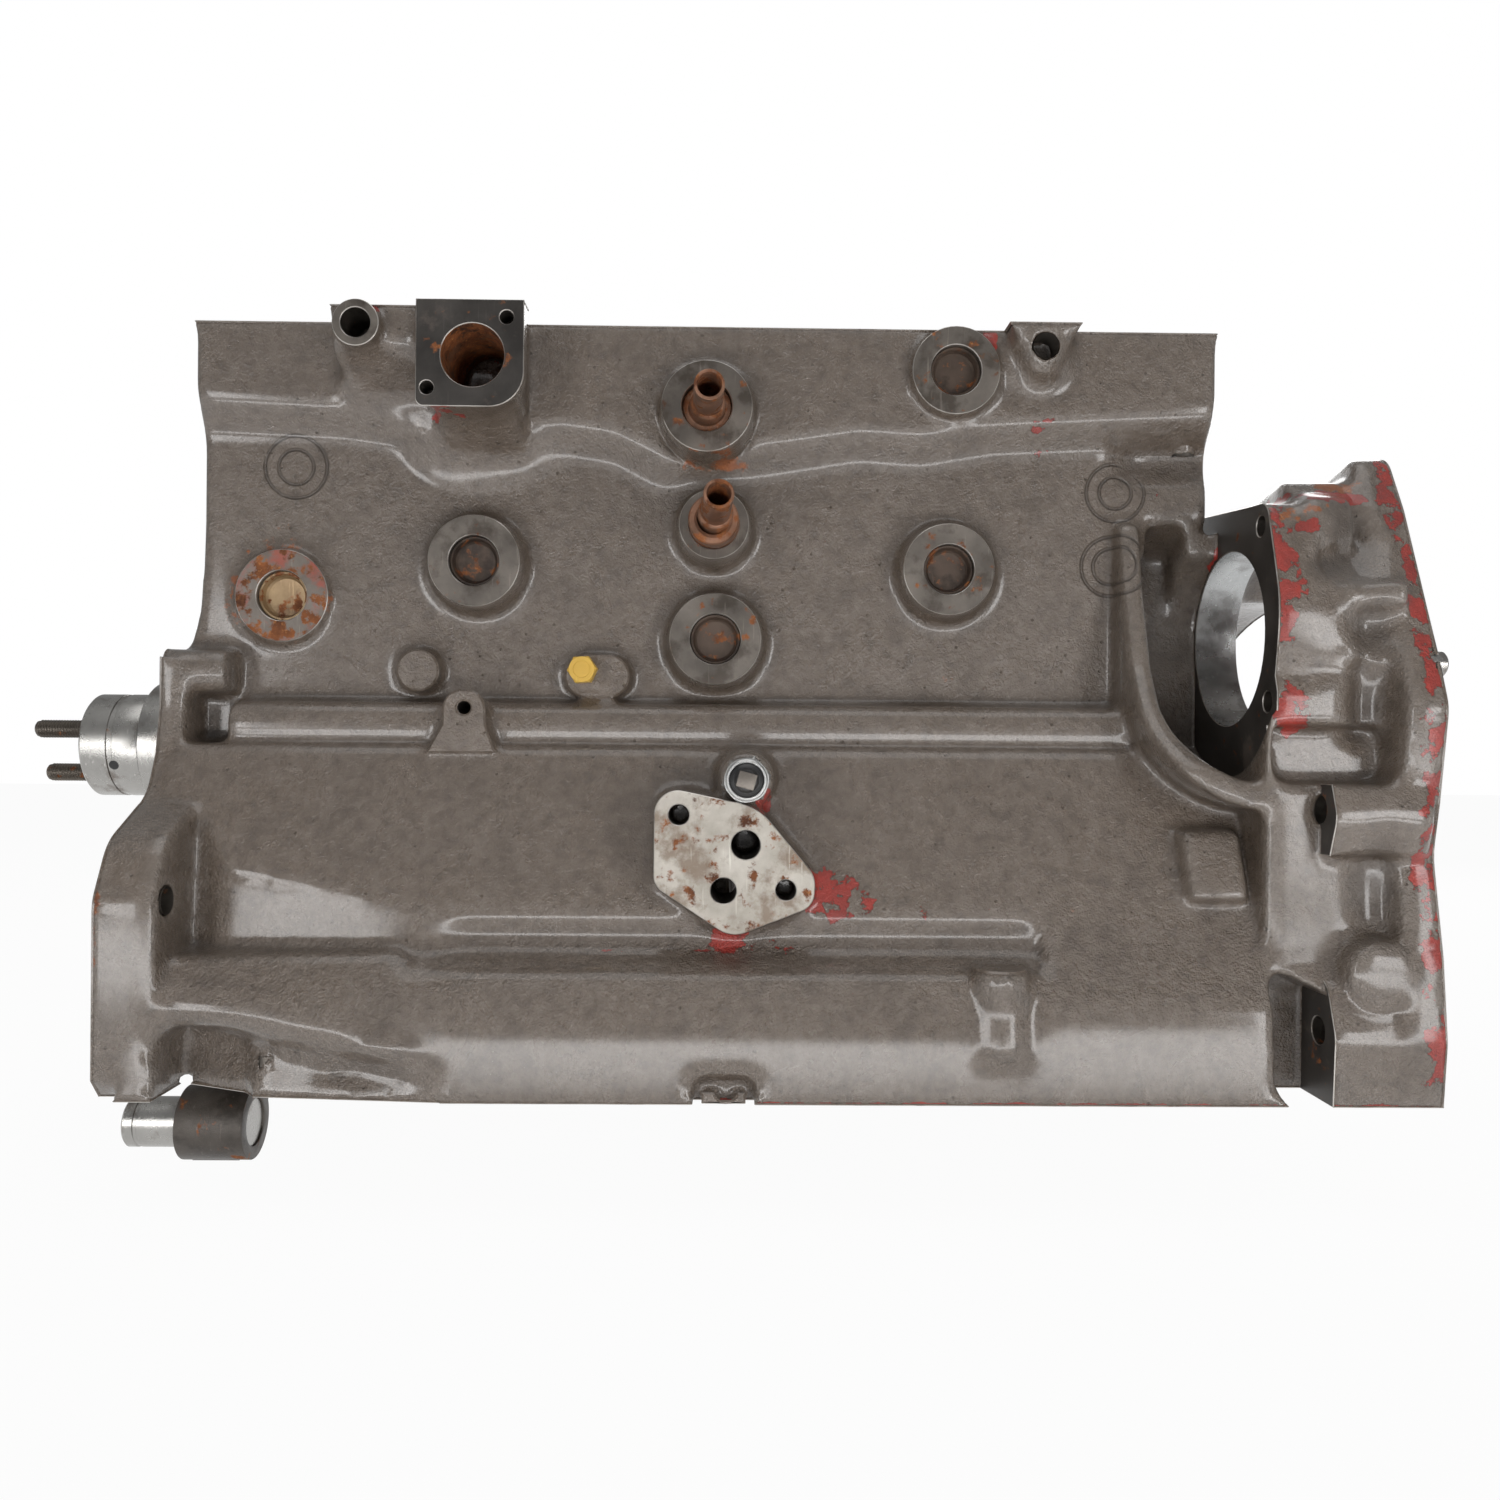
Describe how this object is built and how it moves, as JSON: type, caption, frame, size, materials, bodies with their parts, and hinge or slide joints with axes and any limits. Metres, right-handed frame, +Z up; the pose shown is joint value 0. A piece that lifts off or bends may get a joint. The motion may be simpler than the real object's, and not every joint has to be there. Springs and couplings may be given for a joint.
{
  "type": "engine block",
  "caption": "Cast engine block with cylinder bores, main bearing caps, starter mount, filter pad, water port and flywheel housing.",
  "frame": {"origin": "middle of the centre main bearing, on the crankshaft axis", "axes": "+X along the crankshaft to the flywheel end, +Z up the cylinders to the deck, -Y to the starter side"},
  "size_m": [0.713, 0.3824, 0.43],
  "materials": {
    "casting": "dark grey-brown paint over cast skin, worn to red under-paint at edges",
    "caps": "bare oiled cast iron with machined faces",
    "bolts": "dark oiled steel with light rust",
    "plugs": "pressed steel with rust and brassy tarnish",
    "pipes": "coppery rust-brown tube",
    "yellow_plug": "yellow painted hexagon",
    "zinc": "dull zinc plate",
    "black_plastic": "black moulded insulator",
    "machined_steel": "turned steel, oiled"
  },
  "bodies": {
    "root": {"block_casting": "casting", "main_bearing_cap_1": "caps", "main_bearing_cap_2": "caps", "main_bearing_cap_3": "caps", "main_bearing_cap_4": "caps", "main_bearing_cap_5": "caps", "main_cap_bolts": "bolts", "core_plugs": "plugs", "coolant_pipe_upper": "pipes", "coolant_pipe_lower": "pipes", "drain_plug": "yellow_plug", "switch_body": "zinc", "switch_insulator": "black_plastic", "switch_terminal": "zinc", "idler_hub": "machined_steel", "hub_stud_upper": "bolts", "hub_stud_lower": "bolts", "pump_shaft": "machined_steel", "rear_dowels": "machined_steel", "camshaft_plug": "plugs"}
  },
  "joints": []
}
